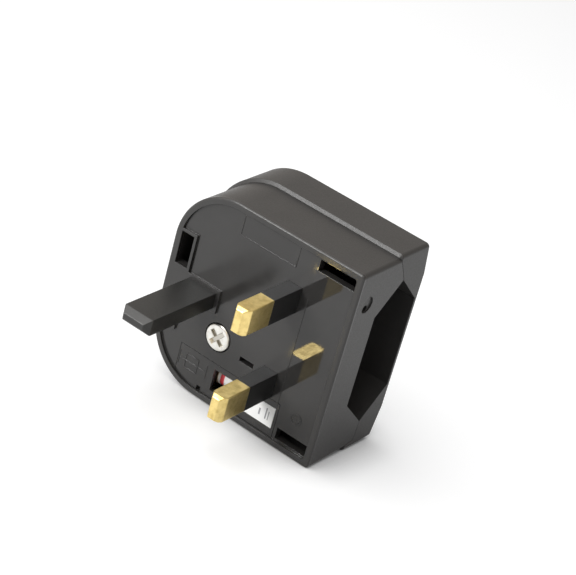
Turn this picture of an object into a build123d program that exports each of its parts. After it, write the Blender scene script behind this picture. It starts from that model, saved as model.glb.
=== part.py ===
from build123d import *
import os

# Three-pin plug adapter that takes a flat two-pin plug, in millimetres.
# X runs from the earth end to the socket end, Y from the pin face into the body, and Z from the live side,
# on which the adapter lies, to the neutral side. The origin is on the pin face, midway between the live and
# neutral pins.

# Plug pins
pin_pitch = 22.22
earth_pitch = 22.23
pin_width = 4.0
pin_height = 6.35
pin_length = 18.8
pin_tip = 1.65
pin_tip_side = 1.15
pin_tip_flat = 0.65
sleeve_length = 9.3
sleeve_wall = 0.4
pin_head_rim = 0.5
pin_head_depth = 2.0
earth_width = 8.0
earth_height = 4.0
earth_length = 23.4
earth_tip = 1.6
earth_tip_side = 1.15
earth_tip_flat = 1.25
earth_flange_rim = 1.0
earth_flange_depth = 2.0

# Housing walls
wall = 1.6
end_wall = 2.0
front_wall = 2.0
back_wall = 1.1
rim = 1.5
recess = 0.6
front_round = 0.5
end_corner = 1.0
earth_corner = 15.0
base_depth = 11.5
lip = 0.9
lip_bevel_width = 0.75
lip_bevel_depth = 0.45
cover_corner = 0.9
back_bevel = 0.4
bevel_width = 8.0
bevel_rise = 1.75
fit = 0.1

# Flat two-pin socket
bay_depth = 8.7
bay_height = 16.1
bay_width = 37.6
bay_flat = 23.2
shroud = 1.3
under_bay = 5.8
socket_pitch = 18.6
socket_pin_length = 19.0
socket_bore = 4.1
socket_wall = 0.6
socket_slit = 0.8
face_thickness = 2.0
face_hole = 5.0
collar_wall = 1.2
collar_length = 2.4
socket_shift = 7.3
seam = 0.12
seam_drop = 0.4
seam_round = 2.4
stop_thickness = 1.2
stop_width = 1.6
stop_offset = 5.0

# Fuse and its cover
fuse_length = 25.4
fuse_diameter = 6.35
fuse_cap = 6.0
fuse_cap_wall = 0.3
fuse_shift = -7.3
fuse_gap = 0.1
clip_wall = 0.5
clip_length = 4.4
clip_inset = 0.8
pin_to_clip = 0.85
clip_to_wall = 0.92
cover_thickness = 1.0
cover_ledge = 1.0
cover_above_fuse = 4.3
cover_overhang = 4.3
cover_short = 0.55
window_length = 8.4
window_height = 5.6
window_from_cover = 10.4
label_length = 8.5
label_height = 5.4
label_depth = 0.15
label_inset = 0.75
notch_width = 1.2
notch_height = 1.2
notch_shift = 7.4
snap_length = 1.0
snap_width = 3.0
snap_barb = 0.5
snap_depth = 0.7
side_snap_width = 0.7
side_snap_offset = 2.7

# Copper-alloy straps
strap = 0.8
strap_width = 3.1
blade_length = 3.6
blade_gap = 0.05

# Cover screw
screw_head = 6.6
screw_head_depth = 2.0
screw_head_proud = 0.4
screw_head_bevel = 0.7
screw_diameter = 3.5
screw_reach = 19.0
screw_side = 8.2
cross_width = 0.9
cross_length = 3.8
cross_depth = 1.3
screw_clearance = 0.15
head_clearance = 0.25
boss_wall = 1.45
boss_gap = 0.4
boss_pad = 1.6
boss_pad_wall = 0.9
insert_wall = 0.75
insert_length = 7.0

# Snap hooks and their mould slots
earth_slot_gap = 1.27
earth_slot_width = 3.5
earth_slot_length = 8.15
earth_slot_start = 3.45
earth_slot_rim = 1.75
island_margin = 0.7
earth_collar = 0.9
side_slot_width = 2.8
side_slot_from_wall = 0.45
side_slot_from_end = 1.9
neutral_slot_length = 9.6
hook_to_fuse = 1.1
vent_start = -8.4
vent_length = 3.9
vent_height = 1.2
vent_offset = 9.85
hook_thickness = 1.2
hook_side = 0.8
hook_tip = 4.8
ledge_depth = 1.2
ledge_height = 2.0
ledge_from_front = 8.4
barb_reach = 0.9
barb_height = 1.5
hook_play = 0.2

# End-face dimple
dimple_radius = 2.0
dimple_depth = 0.35
dimple_hole = 0.8
dimple_hole_depth = 1.2
dimple_height = 16.6
dimple_from_face = 4.6
dimple_hole_shift = 1.1

# Levels and places worked out from the sizes above
front_inside = recess + front_wall
split = front_inside + base_depth
bay_front = front_inside + under_bay + shroud
bay_middle = bay_front + bay_height / 2
bay_back = bay_front + bay_height
back = bay_back + back_wall
rear = back - bevel_rise
bay_floor = socket_shift
end_x = bay_floor + bay_depth
end_inside = end_x - end_wall
earth_edge = -earth_pitch - earth_width / 2
earth_slot_x = (earth_edge - earth_slot_gap - earth_slot_width, earth_edge - earth_slot_gap)
earth_x = earth_slot_x[0] - earth_slot_rim
earth_inside = earth_x + wall
fuse_radius = fuse_diameter / 2
clip_radius = fuse_radius + clip_wall
live_z = -pin_pitch / 2
neutral_z = pin_pitch / 2
fuse_z = live_z - pin_height / 2 - pin_to_clip - clip_radius
half_width = -fuse_z + clip_radius + clip_to_wall + wall
side_inside = half_width - wall
fuse_y = front_inside + fuse_gap + fuse_radius
fuse_x = (fuse_shift - fuse_length / 2, fuse_shift + fuse_length / 2)
strap_y = (front_inside + pin_head_depth, front_inside + pin_head_depth + strap)
load_y = (strap_y[0] + strap / 2, strap_y[0] + strap * 3 / 2)
socket_radius = socket_bore / 2 + socket_wall
socket_z = socket_pitch / 2
socket_x = (bay_floor - socket_pin_length, bay_floor - face_thickness - fit)
boss_radius = screw_diameter / 2 + boss_wall
screw_hole = screw_diameter / 2 + screw_clearance
head_radius = screw_head / 2 + head_clearance
insert_radius = screw_diameter / 2 + insert_wall
screw_x = socket_x[0] - boss_gap - boss_radius
head_y = recess - screw_head_proud
seat_y = head_y + screw_head_depth
clip_leg_z = fuse_z + clip_radius
cover_z = fuse_z + cover_above_fuse
cover_x = (fuse_x[0] - cover_overhang, fuse_x[1] - cover_short)
window_x = (cover_x[0] + window_from_cover, cover_x[0] + window_from_cover + window_length)
label_x = (cover_x[1] - label_inset - label_length, cover_x[1] - label_inset)


def slab(sketch, front, rear):
    """Solid of an X-Z outline between two depths along Y."""
    return extrude(Plane.XZ.offset(-rear) * sketch, amount=rear - front, dir=(0, -1, 0))


def prism(sketch, start, stop):
    """Solid of a Y-Z outline between two places along X."""
    return extrude(Plane.YZ.offset(start) * sketch, amount=stop - start, dir=(1, 0, 0))


def block(x, y, z):
    """Box between the given limits along each axis."""
    spans = (x, y, z)
    middle = [(low + high) / 2 for low, high in spans]
    return Pos(*middle) * Box(*[high - low for low, high in spans])


def rod_x(radius, x, y, z):
    """Cylinder along X between two limits."""
    return Pos((x[0] + x[1]) / 2, y, z) * Rot(0, 90, 0) * Cylinder(radius, x[1] - x[0])


def rod_y(radius, x, y, z):
    """Cylinder along Y between two limits."""
    return Pos(x, (y[0] + y[1]) / 2, z) * Rot(90, 0, 0) * Cylinder(radius, y[1] - y[0])


def span(middle, size):
    """Limits of a size centred on a place."""
    return (middle - size / 2, middle + size / 2)


def rectangle(x, z):
    """Rectangle between two limits along each direction of an outline."""
    return Pos((x[0] + x[1]) / 2, (z[0] + z[1]) / 2) * Rectangle(x[1] - x[0], z[1] - z[0])


def outline(inset=0.0, end_inset=None, corner=end_corner):
    """Housing outline: square at the socket end, with large round corners at the earth end."""
    end_inset = inset if end_inset is None else end_inset
    half = half_width - inset
    shape = rectangle((earth_x + inset, end_x - end_inset), (-half, half))
    shape = fillet(shape.vertices().sort_by(Axis.X)[:2], earth_corner - inset)
    return fillet(shape.vertices().sort_by(Axis.X)[-2:], corner)


def bay_hexagon(grow=0.0):
    """Y-Z outline of the flat plug's body, with two pointed ends."""
    tip, flat, half = bay_width / 2, bay_flat / 2, bay_height / 2
    corners = [(0, tip), (half, flat), (half, -flat), (0, -tip), (-half, -flat), (-half, flat)]
    shape = Pos(bay_middle, 0) * Polygon(*corners, align=None)
    return offset(shape, grow, kind=Kind.INTERSECTION) if grow else shape


def half_space(front):
    """Large block on the pin side or on the rear side of the socket's middle plane."""
    reach = back + half_width
    y = (-reach, bay_middle) if front else (bay_middle, reach)
    return block((earth_x - reach, end_x + reach), y, (-reach, reach))


def end_bridge(gap=0.0):
    """Part of the base's end wall that rises past the split to the socket's middle, with a gap round it."""
    points = [
        (split, half_width),
        (bay_middle, bay_width / 2),
        (bay_middle, -bay_width / 2),
        (bay_middle - seam_drop, -half_width),
        (split, -half_width),
    ]
    shape = Polygon(*points, align=None)
    low_corner = shape.vertices().sort_by(Axis.Y)[:2].sort_by(Axis.X)[-1]
    shape = fillet(low_corner, seam_round)
    if gap:
        shape = offset(shape, gap, kind=Kind.INTERSECTION)
    return prism(shape, end_inside, end_x) & slab(outline(), split, bay_middle + gap)


def island():
    """Raised land at the earth end, around the slots and the earth pin."""
    slot_reach = earth_slot_start + earth_slot_length + island_margin
    lands = rectangle((earth_x, earth_slot_x[1] + island_margin), (-slot_reach, slot_reach))
    half = earth_height / 2 + earth_collar
    collar = rectangle((earth_x, earth_edge + earth_width + earth_collar), (-half, half))
    return lands + collar


def cover_outline():
    """Outline of the fuse cover's seat, cut by the rim's inner line."""
    return rectangle(cover_x, (-half_width, cover_z)) & outline(rim)


def side_slot(sign):
    """X and Z limits of the mould slot beside the neutral (+1) or live (-1) wall."""
    stop = end_x - side_slot_from_end
    start = stop - neutral_slot_length if sign > 0 else fuse_x[1] + hook_to_fuse - hook_side
    outer = side_inside - side_slot_from_wall
    z = sorted((sign * outer, sign * (outer - side_slot_width)))
    return (start, stop), tuple(z)


def earth_slot(sign):
    """X and Z limits of the mould slot on one side of the earth pin."""
    z = sorted((sign * earth_slot_start, sign * (earth_slot_start + earth_slot_length)))
    return earth_slot_x, tuple(z)


def ledge(place, sign):
    """Catch ledge on the inside of a wall, behind its mould slot."""
    y = (ledge_from_front + recess, ledge_from_front + recess + ledge_height)
    x, z = side_slot(sign) if place == "side" else earth_slot(sign)
    if place == "side":
        z = tuple(sorted((sign * (side_inside - ledge_depth), sign * (side_inside + wall / 2))))
    else:
        x = (earth_inside - wall / 2, earth_inside + ledge_depth)
    return block(x, y, z)


def hook(place, sign):
    """Snap arm of the rear cover with a barb that catches under a ledge."""
    catch = ledge_from_front + recess - fit
    x, z = side_slot(sign) if place == "side" else earth_slot(sign)
    arm_y = (front_inside + hook_tip, bay_back + back_wall / 2)
    barb_y = (catch - barb_height, catch)
    if place == "side":
        x = (x[0] + hook_side, x[1] - hook_side)
        face = side_inside - ledge_depth - hook_play
        arm_y = (arm_y[0], rear + back_wall / 2)
        arm_z = sorted((sign * (face - hook_thickness), sign * face))
        barb_z = sorted((sign * (face - hook_thickness), sign * (face + barb_reach)))
        return block(x, arm_y, arm_z) + block(x, barb_y, barb_z)
    z = (z[0] + hook_side, z[1] - hook_side)
    face = earth_inside + ledge_depth + hook_play
    arm = block((face, face + hook_thickness), arm_y, z)
    return arm + block((face - barb_reach, face + hook_thickness), barb_y, z)


def hooks():
    """The places of the four snap hooks."""
    return [(place, sign) for place in ("side", "earth") for sign in (1, -1)]


def base_housing():
    """Front shell with the pin face, the walls and the front half of the socket."""
    shell = slab(outline(), 0, split)
    shell = fillet(shell.edges().filter_by_position(Axis.Y, -fit, fit), front_round)
    shell -= slab(outline(wall, end_wall), front_inside, split)
    shell -= slab(outline(rim) - island(), 0, recess)
    shell += end_bridge()
    tunnel = prism(bay_hexagon(shroud) - bay_hexagon(), bay_floor, end_inside) & half_space(True)
    shell += tunnel
    for sign in (1, -1):
        rib_z = span(sign * stop_offset, stop_width)
        shell += block((bay_floor, end_inside), (front_inside, bay_front - shroud / 2), rib_z)
        stop_x = (bay_floor - face_thickness - stop_thickness, bay_floor - face_thickness)
        shell += block(stop_x, (front_inside, bay_front + shroud), rib_z)
    pad_y = (front_inside, front_inside + boss_pad)
    shell += rod_y(head_radius + boss_pad_wall, screw_x, pad_y, -screw_side)
    shell += rod_y(boss_radius, screw_x, (front_inside, split), -screw_side)
    for place, sign in hooks():
        shell += ledge(place, sign)
        x, z = side_slot(sign) if place == "side" else earth_slot(sign)
        shell -= block(x, (-fit, front_inside), z)
    shell -= prism(bay_hexagon(), bay_floor, end_x + fit)
    shell -= slab(cover_outline(), recess - fit, recess + cover_thickness)
    shell -= slab(offset(cover_outline(), -cover_ledge), recess - fit, front_inside)
    for z in (live_z, neutral_z):
        shell -= block(span(0, pin_width), (-fit, front_inside), span(z, pin_height))
    shell -= block(span(-earth_pitch, earth_width), (-fit, front_inside), span(0, earth_height))
    vent_x = (vent_start, vent_start + vent_length)
    shell -= block(vent_x, (0, front_inside), span(-vent_offset, vent_height))
    shell -= rod_y(head_radius, screw_x, (0, seat_y), -screw_side)
    shell -= rod_y(screw_hole, screw_x, (0, split), -screw_side)
    shell -= rod_x(dimple_radius, (end_x - dimple_depth, end_x), dimple_from_face, dimple_height)
    hole_z = dimple_height - dimple_hole_shift
    shell -= rod_x(dimple_hole, (end_x - dimple_hole_depth, end_x), dimple_from_face, hole_z)
    return shell


def rear_cover():
    """Rear shell with a bevelled back, a lip that overhangs the base, the hooks and the screw boss."""
    half = half_width + lip
    flat = half - bevel_width
    profile = [(split, half), (rear, half), (back, flat), (back, -flat), (rear, -half), (split, -half)]
    section = prism(Polygon(*profile, align=None), earth_x - lip, end_x)
    outer = slab(outline(-lip, 0, cover_corner), split, back) & section
    rear_edges = outer.edges().filter_by_position(Axis.Y, rear - fit, back + fit)
    on_back = rear_edges.filter_by(lambda edge: abs(edge.center().Y - back) < fit)
    creases = on_back.filter_by(lambda edge: abs(abs(edge.center().Z) - flat) < fit)
    outer = chamfer([edge for edge in rear_edges if edge not in creases], back_bevel)
    front_edges = outer.edges().filter_by_position(Axis.Y, split - fit, split + fit)
    lip_edges = [edge for edge in front_edges if edge.center().X < end_x - cover_corner]
    outer = chamfer(lip_edges, lip_bevel_width, lip_bevel_depth, reference=outer.faces().sort_by(Axis.Y)[0])
    inner = [(split, half), (rear - back_wall, half), (bay_back, flat)]
    inner += [(y, -z) for y, z in reversed(inner)]
    cavity = slab(outline(wall, end_wall), split, bay_back)
    shell = outer - (cavity & prism(Polygon(*inner, align=None), earth_x, end_x))
    tunnel = prism(bay_hexagon(shroud) - bay_hexagon(), bay_floor, end_inside) & half_space(False)
    shell += tunnel & section
    shell -= prism(bay_hexagon(), bay_floor, end_x + fit)
    shell -= end_bridge(seam)
    shell += rod_y(boss_radius, screw_x, (split + fit, bay_back + back_wall / 2), -screw_side)
    post_y = (front_inside + earth_flange_depth, bay_back + back_wall / 2)
    shell += block(span(-earth_pitch, earth_height), post_y, span(0, earth_height))
    for place, sign in hooks():
        shell += hook(place, sign)
    shell -= rod_y(insert_radius, screw_x, (split, split + fit + insert_length), -screw_side)
    return shell - rod_y(screw_hole, screw_x, (split, seat_y + screw_reach + fit), -screw_side)


def pin_profile(middle, size, length, tip, bevel, root):
    """Pin seen from one side, as points of depth and place, from its root to a bevelled tip."""
    low, high = span(middle, size)
    shoulder = tip - length
    near = [(root, low), (shoulder, low), (-length, low + bevel)]
    return near + [(-length, high - bevel), (shoulder, high), (root, high)]


def tapered_pin(x, z, width, height, length, tip, bevels, root):
    """Rectangular pin along Y, bevelled on all four sides of its tip."""
    across = pin_profile(x, width, length, tip, bevels[0], root)
    upright = pin_profile(z, height, length, tip, bevels[1], root)
    plan = Polygon(*[(place, depth) for depth, place in across], align=None)
    slice_z = extrude(Plane.XY.offset(z - height / 2) * plan, amount=height, dir=(0, 0, 1))
    return slice_z & prism(Polygon(*upright, align=None), *span(x, width))


def power_pin(z):
    """Brass pin with a bevelled tip, a thinner shank under its sleeve and a head inside the base."""
    bevels = (pin_tip_side, pin_tip_flat)
    pin = tapered_pin(0, z, pin_width, pin_height, pin_length, pin_tip, bevels, -sleeve_length)
    shank_width = pin_width - 2 * sleeve_wall
    shank_height = pin_height - 2 * sleeve_wall
    pin += block(span(0, shank_width), (-sleeve_length, front_inside), span(z, shank_height))
    head_x = span(0, pin_width + 2 * pin_head_rim)
    head_z = span(z, pin_height + 2 * pin_head_rim)
    return pin + block(head_x, (front_inside, front_inside + pin_head_depth), head_z)


def pin_sleeve(z):
    """Insulating sleeve, flush with the pin's tip and set in the pin face."""
    y = (-sleeve_length, front_inside)
    sleeve = block(span(0, pin_width), y, span(z, pin_height))
    return sleeve - block(span(0, pin_width - 2 * sleeve_wall), y, span(z, pin_height - 2 * sleeve_wall))


def earth_pin():
    """Moulded earth pin with a bevelled tip and a flange behind the pin face."""
    bevels = (earth_tip_side, earth_tip_flat)
    pin = tapered_pin(
        -earth_pitch, 0, earth_width, earth_height, earth_length, earth_tip, bevels, front_inside
    )
    flange_y = (front_inside, front_inside + earth_flange_depth)
    flange_x = span(-earth_pitch, earth_width + 2 * earth_flange_rim)
    return pin + block(flange_x, flange_y, span(0, earth_height + 2 * earth_flange_rim))


def snap_leg(edge, inward, z):
    """Leg of the fuse cover at one end of its opening, with a barb under the pin face."""
    root = edge + inward * fit * 2
    barb_y = (front_inside + fit, front_inside + fit + snap_depth)
    leg = block(sorted((root, root + inward * snap_length)), (recess + cover_thickness, barb_y[1]), z)
    return leg + block(sorted((edge - inward * snap_barb, root + inward * snap_length)), barb_y, z)


def fuse_cover():
    """Snap-in cover over the fuse, with a window, a label seat and a lever notch."""
    seat = recess + cover_thickness
    cover = slab(offset(cover_outline(), -fit), recess, seat)
    cover -= block(window_x, (recess - fit, seat), span(fuse_z, window_height))
    cover -= block(label_x, (recess - fit, recess + label_depth), span(fuse_z, label_height))
    low = -half_width + rim
    notch_x = span(cover_x[0] + notch_shift, notch_width)
    cover -= block(notch_x, (recess - fit, seat), (low, low + notch_height))
    cover += snap_leg(cover_x[0] + cover_ledge, 1, span(fuse_z, snap_width))
    for sign in (1, -1):
        leg_z = span(fuse_z + sign * side_snap_offset, side_snap_width)
        cover += snap_leg(cover_x[1] - cover_ledge, -1, leg_z)
    return cover


def rating_label():
    """Thin plain label in its seat on the fuse cover."""
    x = (label_x[0] + fit, label_x[1] - fit)
    return block(x, (recess, recess + label_depth), span(fuse_z, label_height - 2 * fit))


def fuse_body():
    """Ceramic tube between the two fuse caps."""
    inner = fuse_radius - fuse_cap_wall
    x = (fuse_x[0] + fuse_cap_wall, fuse_x[1] - fuse_cap_wall)
    return rod_x(inner, x, fuse_y, fuse_z)


def fuse_end(side):
    """Metal cap over one end of the fuse: -1 at the earth end, +1 at the socket end."""
    end = fuse_x[0] if side < 0 else fuse_x[1]
    x = sorted((end, end - side * fuse_cap))
    cap = rod_x(fuse_radius, x, fuse_y, fuse_z)
    return cap - fuse_body()


def clip_x(side):
    """X limits of the clip on one fuse cap."""
    end = fuse_x[0] if side < 0 else fuse_x[1]
    return tuple(sorted((end - side * clip_inset, end - side * (clip_inset + clip_length))))


def fuse_clip(side):
    """Spring clip that holds a fuse cap from behind and stands on the pin face."""
    bend = Pos(fuse_y, fuse_z) * (Circle(clip_radius) - Circle(fuse_radius))
    legs = rectangle((front_inside, fuse_y), span(fuse_z, 2 * clip_radius))
    legs -= rectangle((front_inside, fuse_y), span(fuse_z, 2 * fuse_radius))
    reach = fuse_y + clip_radius
    bend &= rectangle((fuse_y, reach), span(fuse_z, 2 * clip_radius))
    return prism(bend + legs, *clip_x(side))


def live_strap():
    """Strap from the live pin's head to the clip at the socket end of the fuse."""
    half = pin_width / 2 + pin_head_rim
    return block((-half, clip_x(1)[1]), strap_y, (clip_leg_z, live_z + pin_height / 2))


def blade_top():
    """Depth at which the straps' blades meet the sockets."""
    return bay_middle - socket_radius - blade_gap


def load_strap():
    """Strap from the clip at the earth end of the fuse, past the screw boss, to the live socket."""
    blade_x = (socket_x[0] + boss_gap, socket_x[0] + boss_gap + blade_length)
    bend_z = -socket_z + strap / 2
    strip = block((clip_x(-1)[0], blade_x[1]), load_y, (clip_leg_z, clip_leg_z + strap_width))
    strip += block(blade_x, load_y, (clip_leg_z, bend_z))
    return strip + block(blade_x, (load_y[0], blade_top()), (bend_z - strap, bend_z))


def neutral_strap():
    """Strap from the neutral pin's head to the neutral socket."""
    x = span(0, pin_width + 2 * pin_head_rim)
    z = (socket_z - strap / 2, neutral_z + pin_height / 2)
    return block(x, strap_y, z) + block(x, (strap_y[0], blade_top()), (z[0], z[0] + strap))


def plug_socket(z):
    """Slit spring tube that grips one pin of the flat plug."""
    tube = rod_x(socket_radius, socket_x, bay_middle, z) - rod_x(socket_bore / 2, socket_x, bay_middle, z)
    slit_y = (bay_middle, bay_middle + socket_radius)
    return tube - block(socket_x, slit_y, span(z, socket_slit))


def socket_face():
    """Insulating plate at the end of the plug bay, with a hole and a collar for each socket."""
    seat = rectangle((front_inside, bay_back - fit), (-half_width, half_width))
    plate = prism(bay_hexagon(shroud) & seat, bay_floor - face_thickness, bay_floor)
    collar_bore = socket_radius + fit
    collar_x = (bay_floor - face_thickness - collar_length, bay_floor - face_thickness)
    for z in (socket_z, -socket_z):
        plate += rod_x(collar_bore + collar_wall, collar_x, bay_middle, z)
        plate -= rod_x(collar_bore, collar_x, bay_middle, z)
        plate -= rod_x(face_hole / 2, (collar_x[1], bay_floor), bay_middle, z)
    return plate


def cover_screw():
    """Pan-head screw with a cross recess that holds the rear cover to the base."""
    head = rod_y(screw_head / 2, screw_x, (head_y, seat_y), -screw_side)
    head = chamfer(head.edges().sort_by(Axis.Y)[0], screw_head_bevel)
    for long_x in (True, False):
        x = cross_length if long_x else cross_width
        z = cross_width if long_x else cross_length
        head -= block(span(screw_x, x), (head_y, head_y + cross_depth), span(-screw_side, z))
    return head + rod_y(screw_diameter / 2, screw_x, (seat_y, seat_y + screw_reach), -screw_side)


def screw_insert():
    """Threaded brass insert in the rear cover's boss."""
    y = (split + fit, split + fit + insert_length)
    insert = rod_y(insert_radius, screw_x, y, -screw_side)
    return insert - rod_y(screw_diameter / 2, screw_x, y, -screw_side)


parts = {
    "base_housing": base_housing(),
    "rear_cover": rear_cover(),
    "earth_pin": earth_pin(),
    "live_pin": power_pin(live_z),
    "neutral_pin": power_pin(neutral_z),
    "live_pin_sleeve": pin_sleeve(live_z),
    "neutral_pin_sleeve": pin_sleeve(neutral_z),
    "fuse_cover": fuse_cover(),
    "rating_label": rating_label(),
    "fuse_body": fuse_body(),
    "fuse_cap_load": fuse_end(-1),
    "fuse_cap_line": fuse_end(1),
    "fuse_clip_load": fuse_clip(-1),
    "fuse_clip_line": fuse_clip(1),
    "live_strap": live_strap(),
    "load_strap": load_strap(),
    "neutral_strap": neutral_strap(),
    "live_socket": plug_socket(-socket_z),
    "neutral_socket": plug_socket(socket_z),
    "socket_face": socket_face(),
    "cover_screw": cover_screw(),
    "screw_insert": screw_insert(),
}

os.makedirs("parts", exist_ok=True)
for name, solid in parts.items():
    export_step(solid, f"parts/{name}.step")
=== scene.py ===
"""Looks of a fused three-pin plug adapter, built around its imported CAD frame.

The adapter lies on its live side. X runs from the earth end to the plug bay, Y from the pin face into the
body and Z from the live pin to the neutral pin. Every length is in metres.
"""
from __future__ import annotations

import logging
import math
from dataclasses import dataclass, field, replace
from enum import Enum

import bmesh
import bpy
from mathutils import Matrix, Vector

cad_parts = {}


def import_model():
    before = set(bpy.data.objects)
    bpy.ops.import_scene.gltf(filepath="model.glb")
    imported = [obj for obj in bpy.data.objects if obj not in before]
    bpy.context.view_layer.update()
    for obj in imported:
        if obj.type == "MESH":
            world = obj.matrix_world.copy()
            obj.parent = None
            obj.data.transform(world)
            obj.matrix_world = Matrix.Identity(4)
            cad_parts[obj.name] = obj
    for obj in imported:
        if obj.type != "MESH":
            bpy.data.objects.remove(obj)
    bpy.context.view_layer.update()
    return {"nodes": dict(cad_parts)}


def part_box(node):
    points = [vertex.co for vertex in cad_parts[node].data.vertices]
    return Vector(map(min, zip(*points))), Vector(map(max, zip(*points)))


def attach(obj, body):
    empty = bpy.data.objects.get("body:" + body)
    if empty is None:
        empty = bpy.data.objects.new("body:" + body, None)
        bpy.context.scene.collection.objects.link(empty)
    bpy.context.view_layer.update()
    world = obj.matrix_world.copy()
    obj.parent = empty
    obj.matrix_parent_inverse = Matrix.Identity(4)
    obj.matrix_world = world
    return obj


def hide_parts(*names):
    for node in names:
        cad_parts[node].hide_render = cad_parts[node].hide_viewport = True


LOG = logging.getLogger("plug_adapter")
MM = 0.001
BODY = "root"
MERGE = 0.002 * MM
SHARP = math.radians(20)
CREASE = math.radians(35)

Triple = tuple[float, float, float]
Colour = Triple
Quad = tuple[float, float, float, float]
Limits = tuple[float, float]
Socket = bpy.types.NodeSocket
Vert = bmesh.types.BMVert
Edge = bmesh.types.BMEdge
Face = bmesh.types.BMFace

WHITE: Colour = (1.0, 1.0, 1.0)
EVEN: Triple = (1.0, 1.0, 1.0)
# Part of a noise's range that holds most of its values
CLOUDY: Limits = (0.3, 0.7)


def span(middle: float, size: float) -> Limits:
    """Give the limits of a size about its middle."""
    return (middle - size / 2, middle + size / 2)


class MouldTexture(Enum):
    """Surface that the mould leaves, as its roughness and the size and height of its grain."""

    POLISHED = (0.34, 0.4 * MM, 0.002 * MM)
    SPARK = (0.42, 0.3 * MM, 0.02 * MM)
    ETCHED = (0.46, 0.3 * MM, 0.02 * MM)
    MATT = (0.6, 0.16 * MM, 0.01 * MM)


class Axis(Enum):
    """Row axis as a unit vector."""

    X = Vector((1, 0, 0))
    Y = Vector((0, 1, 0))
    Z = Vector((0, 0, 1))


class Graph:
    """Shader nodes of a material or of the surroundings."""

    def __init__(self, owner: bpy.types.Material | bpy.types.World) -> None:
        """Start with no nodes.

        Args:
            owner: Material or world that the nodes belong to.
        """
        owner.use_nodes = True
        self.owner = owner
        self.tree = owner.node_tree
        self.tree.nodes.clear()

    def feed(self, socket: Socket, value: object) -> None:
        """Link an input to the socket that gives its value, or set the value.

        Args:
            socket: Input of a node.
            value: Source socket, number or triple.
        """
        if isinstance(value, Socket):
            self.tree.links.new(value, socket)
        elif socket.type == "RGBA":
            socket.default_value = (*value, 1)
        else:
            socket.default_value = value

    def add(self, kind: str, inputs: dict[str, object] | None = None, **settings: object) -> bpy.types.Node:
        """Add a node.

        Args:
            kind: Blender's name of the node type.
            inputs: Values or source sockets for the node's inputs, by name.
            settings: Attributes of the node.

        Returns:
            The new node.
        """
        node = self.tree.nodes.new(kind)
        for name, value in settings.items():
            setattr(node, name, value)
        for name, value in (inputs or {}).items():
            self.feed(node.inputs[name], value)
        return node

    def place(self) -> Socket:
        """Give the Object coordinates."""
        return self.add("ShaderNodeTexCoord").outputs["Object"]

    def along(self, axis: Axis) -> Socket:
        """Give the Object coordinate along one axis."""
        return self.add("ShaderNodeSeparateXYZ", {"Vector": self.place()}).outputs[axis.name]

    def off(self, axis: Axis, middle: float) -> Socket:
        """Give the distance from a place along one axis."""
        return self.math("ABSOLUTE", self.math("SUBTRACT", self.along(axis), middle))

    def noise(self, size: float, detail: float, stretch: Triple = EVEN) -> Socket:
        """Add cloudy noise on Object coordinates.

        Args:
            size: Size of one cloud.
            detail: Number of finer layers.
            stretch: How much longer a cloud is along each axis.

        Returns:
            The noise's grey value, from 0 to 1.
        """
        scale = tuple(1 / (size * along) for along in stretch)
        mapped = self.add("ShaderNodeMapping", {"Vector": self.place(), "Scale": scale})
        inputs = {"Vector": mapped.outputs["Vector"], "Scale": 1.0, "Detail": detail}
        return self.add("ShaderNodeTexNoise", inputs).outputs["Fac"]

    def between(self, value: Socket, source: Limits, target: Limits) -> Socket:
        """Map a value from a source range to a target range, held at the ends."""
        names = ("Value", "From Min", "From Max", "To Min", "To Max")
        inputs = dict(zip(names, (value, *source, *target)))
        return self.add("ShaderNodeMapRange", inputs).outputs["Result"]

    def math(self, operation: str, first: object, second: object = 0.0) -> Socket:
        """Combine two values.

        Args:
            operation: Name of the arithmetic operation.
            first: First value or socket.
            second: Second value or socket.

        Returns:
            The result.
        """
        node = self.add("ShaderNodeMath", operation=operation)
        self.feed(node.inputs[0], first)
        self.feed(node.inputs[1], second)
        return node.outputs["Value"]

    def blend(self, factor: Socket, first: object, second: object) -> Socket:
        """Mix two colours.

        Args:
            factor: Share of the second colour.
            first: First colour or socket.
            second: Second colour or socket.

        Returns:
            The mixed colour.
        """
        node = self.add("ShaderNodeMix", {"Factor": factor}, data_type="RGBA")
        self.feed(node.inputs[6], first)
        self.feed(node.inputs[7], second)
        return node.outputs[2]

    def cloudy(self, factor: Socket, colour: Colour, shade: float) -> Socket:
        """Darken a colour to a share of itself where the factor is 0."""
        return self.blend(factor, tuple(shade * part for part in colour), colour)

    def bump(self, height: Socket, relief: float, strength: object, normal: Socket | None = None) -> Socket:
        """Turn a height into a relief.

        Args:
            height: Height, from 0 to 1.
            relief: Height of the relief.
            strength: How much of the relief shows.
            normal: Normal that the relief stands on, or nothing for the mesh's own.

        Returns:
            The new normal.
        """
        inputs = {"Height": height, "Distance": relief, "Strength": strength}
        if normal is not None:
            inputs["Normal"] = normal
        return self.add("ShaderNodeBump", inputs).outputs["Normal"]

    def surface(self, shader: bpy.types.Node) -> bpy.types.Material:
        """Make a shader the surface of the material, and return the material."""
        self.add("ShaderNodeOutputMaterial", {"Surface": shader.outputs[0]})
        return self.owner

    def coat(self, **inputs: object) -> bpy.types.Material:
        """Make a principled shader the surface, with its inputs by name, and return the material."""
        named = {name.replace("_", " "): value for name, value in inputs.items()}
        return self.surface(self.add("ShaderNodeBsdfPrincipled", named))


@dataclass(frozen=True)
class Finish:
    """Look of a surface.

    Attributes:
        name: Name of the material.
        slot: Material slot of the record; not used.
    """

    name: str
    slot: str

    def material(self) -> bpy.types.Material:
        """Build the node material and return it."""
        raise NotImplementedError


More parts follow.
